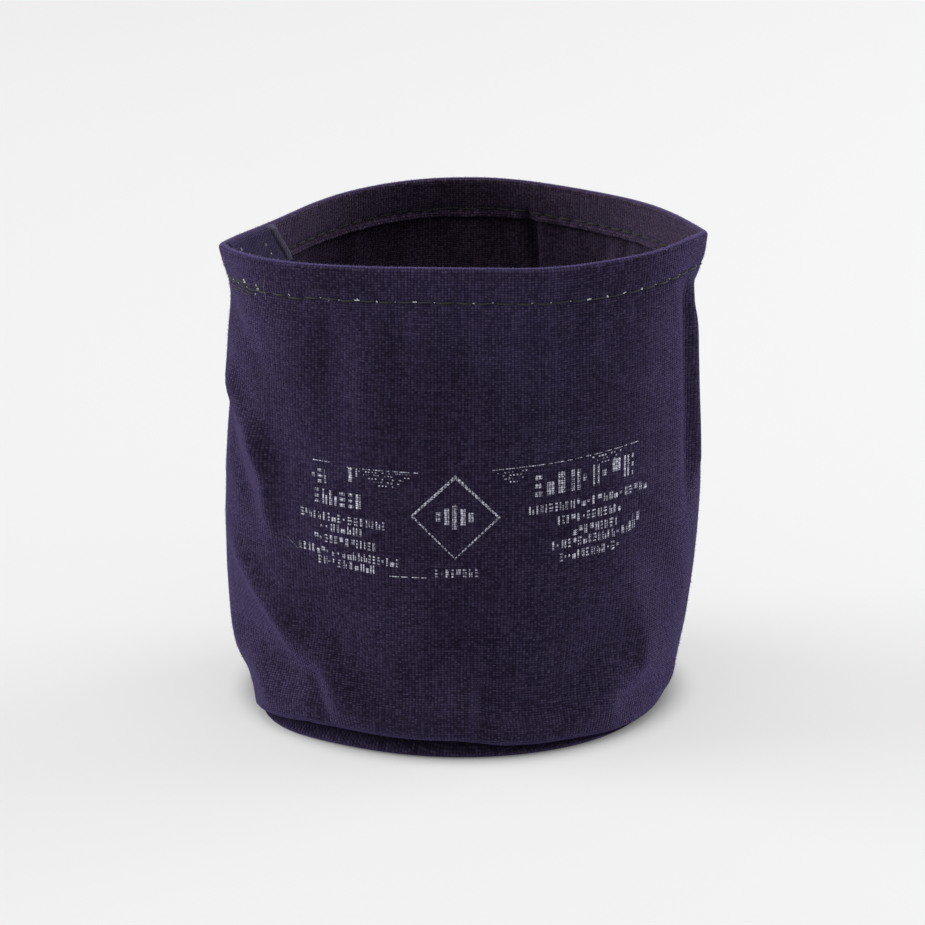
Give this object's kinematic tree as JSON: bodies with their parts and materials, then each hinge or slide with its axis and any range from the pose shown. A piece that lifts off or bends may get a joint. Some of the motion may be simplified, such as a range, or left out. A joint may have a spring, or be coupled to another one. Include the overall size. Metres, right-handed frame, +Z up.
{
  "type": "fabric storage bin",
  "caption": "Small round-bottomed open-top storage bin of heavy dark canvas, with a turned-in stitched rim pinched to a crease at each side.",
  "frame": {"origin": "middle of the base's underside, where it rests", "axes": "+Z up, -Y the stamped front, +X to the right as one faces the front; the creases are at -X and +X"},
  "size_m": [0.1378, 0.118, 0.14],
  "materials": {
    "canvas": "matte plain-weave cotton duck, dark navy-violet, with a worn pale stamp on the front",
    "thread": "matte dark olive-grey sewing thread"
  },
  "bodies": {
    "root": {"wall_panel": "canvas", "top_hem": "canvas", "side_seam_allowance": "canvas", "base_panel": "canvas", "base_seam_allowance": "canvas", "hem_needle_thread": "thread", "hem_bobbin_thread": "thread", "hem_back_tack": "thread", "side_seam_thread": "thread", "base_seam_thread": "thread"}
  },
  "joints": []
}
